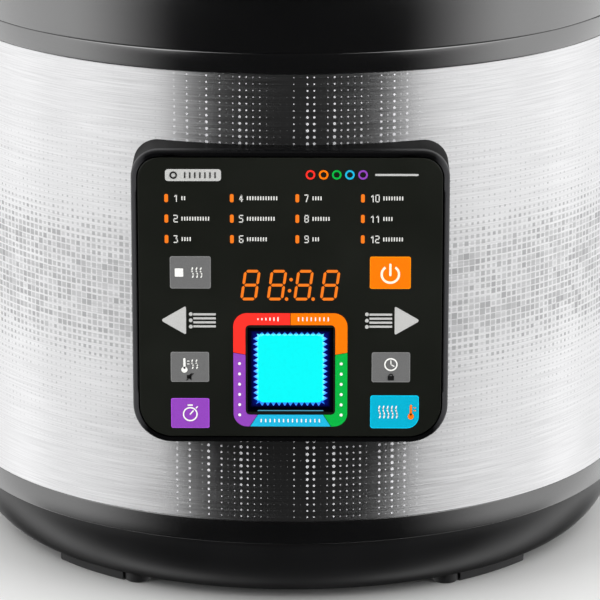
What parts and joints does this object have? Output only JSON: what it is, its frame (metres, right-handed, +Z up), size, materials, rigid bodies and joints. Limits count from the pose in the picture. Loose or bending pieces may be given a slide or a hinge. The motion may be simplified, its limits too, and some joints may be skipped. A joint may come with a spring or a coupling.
{
  "type": "electric pressure cooker",
  "caption": "Free-standing electric pressure cooker with a twist-off lid, lift-out pot, steel drum, touch control panel and slide-off condensation cup.",
  "frame": {"origin": "on the floor plane, under the axis of the drum and pot", "axes": "+Z up along the pot's axis, -Y towards the control panel, +X to the right of someone facing the panel"},
  "size_m": [0.344, 0.3142, 0.32],
  "materials": {
    "rubber_black": "moulded",
    "base_plastic": "moulded satin",
    "gloss_black": "polished",
    "drum_steel": "brushed around the drum",
    "handle_black": "satin",
    "fastener_steel": "zinc plated",
    "pressed_steel": "pressed",
    "plate_aluminium": "cast and turned",
    "element_steel": "oxidised tube",
    "cap_aluminium": "turned",
    "spring_steel": "drawn wire",
    "switch_ceramic": "moulded",
    "board_green": "solder mask",
    "board_parts": "moulded",
    "pin_brass": "plated",
    "lead_jacket": "insulated leads",
    "panel_plastic": "polished",
    "front_black": "back-printed front plate",
    "display_dark": "smoked",
    "lit_orange": "lit",
    "print_white": "printed",
    "print_grey": "printed",
    "key_print": "printed, orange, purple and cyan keys among the grey",
    "ring_print": "printed in five colours",
    "well_navy": "moulded",
    "lens_cyan": "lit lens",
    "cup_clear": "clear moulded",
    "pot_aluminium": "spun, hard anodised",
    "silicone": "moulded",
    "lid_black": "polished",
    "weight_steel": "turned",
    "float_red": "moulded"
  },
  "bodies": {
    "housing": {"feet": "rubber_black", "base_bowl": "base_plastic", "bottom_cover": "base_plastic", "cup_bracket": "base_plastic", "inlet_socket": "base_plastic", "lower_ring": "gloss_black", "upper_band": "gloss_black", "collar": "gloss_black", "steel_drum": "drum_steel", "handle_left": "handle_black", "handle_right": "handle_black", "handle_screws": "fastener_steel", "small_screws": "fastener_steel", "lock_rivets": "fastener_steel", "tie_rods": "fastener_steel", "vessel": "pressed_steel", "lock_ring": "pressed_steel", "spring_plate": "pressed_steel", "sensor_bracket": "pressed_steel", "heating_plate": "plate_aluminium", "heating_element": "element_steel", "sensor_spring": "spring_steel", "touch_springs": "spring_steel", "pressure_switch": "switch_ceramic", "thermal_fuse": "switch_ceramic", "power_board": "board_green", "control_board": "board_green", "power_parts": "board_parts", "inlet_pins": "pin_brass", "mains_leads": "lead_jacket", "heater_leads": "lead_jacket", "ribbon_cable": "lead_jacket", "panel_housing": "panel_plastic", "front_plate": "front_black", "display_module": "display_dark", "digits": "lit_orange", "program_lights": "lit_orange", "program_marks": "print_white", "arrow_marks": "print_grey", "touch_keys": "key_print", "colour_ring": "ring_print", "status_well": "well_navy", "status_lens": "lens_cyan"},
    "pot": {"inner_pot": "pot_aluminium"},
    "seal": {"sealing_ring": "silicone"},
    "lid": {"gasket_rack": "pressed_steel", "lid_plate": "pressed_steel", "lid_cover": "lid_black", "lid_handle": "handle_black", "lid_screws": "fastener_steel", "steam_pipe": "pressed_steel", "pipe_nut": "fastener_steel"},
    "steam_valve": {"valve_weight": "weight_steel", "valve_knob": "handle_black"},
    "float_valve": {"float_pin": "float_red", "float_seal": "silicone"},
    "shield": {"inlet_shield": "pressed_steel"},
    "sensor": {"sensor_cap": "cap_aluminium"},
    "cup": {"condensation_cup": "cup_clear"}
  },
  "joints": [
    {"name": "pot_lift", "type": "slide", "parent": "housing", "child": "pot", "axis": [0, 0, 1], "range_m": [0, 0.2]},
    {"name": "lid_lift", "type": "slide", "parent": "pot", "child": "seal", "axis": [0, 0, 1], "range_m": [0, 0.12]},
    {"name": "lid_turn", "type": "hinge", "parent": "seal", "child": "lid", "pos_m": [0, 0, 0.2574], "axis": [0, 0, 1], "range_deg": [-22.5, 0]},
    {"name": "steam_valve_turn", "type": "hinge", "parent": "lid", "child": "steam_valve", "pos_m": [0, 0.078, 0.29], "axis": [0, 0, 1], "range_deg": [-40, 40]},
    {"name": "float_rise", "type": "slide", "parent": "lid", "child": "float_valve", "axis": [0, 0, 1], "range_m": [0, 0.005]},
    {"name": "shield_pull", "type": "slide", "parent": "lid", "child": "shield", "axis": [0, 0, -1], "range_m": [0, 0.012]},
    {"name": "sensor_press", "type": "slide", "parent": "housing", "child": "sensor", "axis": [0, 0, 1], "range_m": [-0.002, 0], "stiffness_N_per_m": 500, "springref_m": 0.004, "deforming": ["sensor_spring"]},
    {"name": "cup_pull", "type": "slide", "parent": "housing", "child": "cup", "axis": [0, 1, 0], "range_m": [0, 0.05]}
  ]
}
